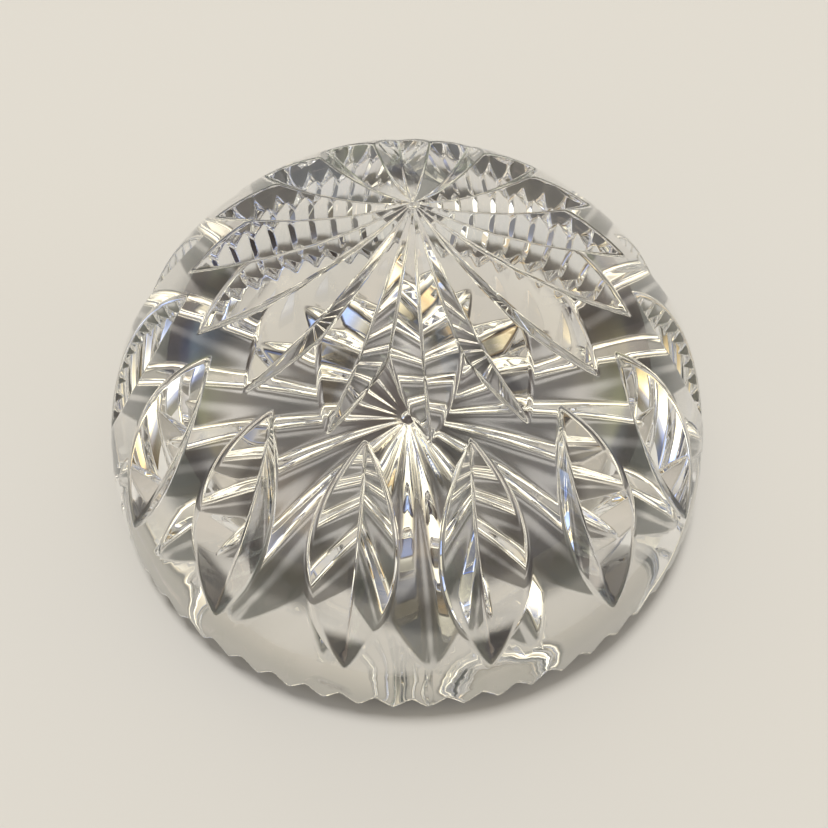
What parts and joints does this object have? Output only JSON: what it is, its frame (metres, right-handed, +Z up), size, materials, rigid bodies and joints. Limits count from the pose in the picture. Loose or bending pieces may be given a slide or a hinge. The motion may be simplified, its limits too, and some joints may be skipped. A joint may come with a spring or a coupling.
{
  "type": "paperweight",
  "caption": "Solid clear cut-crystal dome: a rayed star at the pole, a ring of leaf cuts, a notched rim and a second star ground under the flat base it rests on.",
  "frame": {"origin": "centre of the flat base", "axes": "+Z up through the pole of the dome; -Y is the side that faces the viewer"},
  "size_m": [0.0994, 0.0994, 0.0472],
  "materials": {
    "clear_crystal": "polished"
  },
  "bodies": {
    "root": {"crystal_dome": "clear_crystal"}
  },
  "joints": []
}
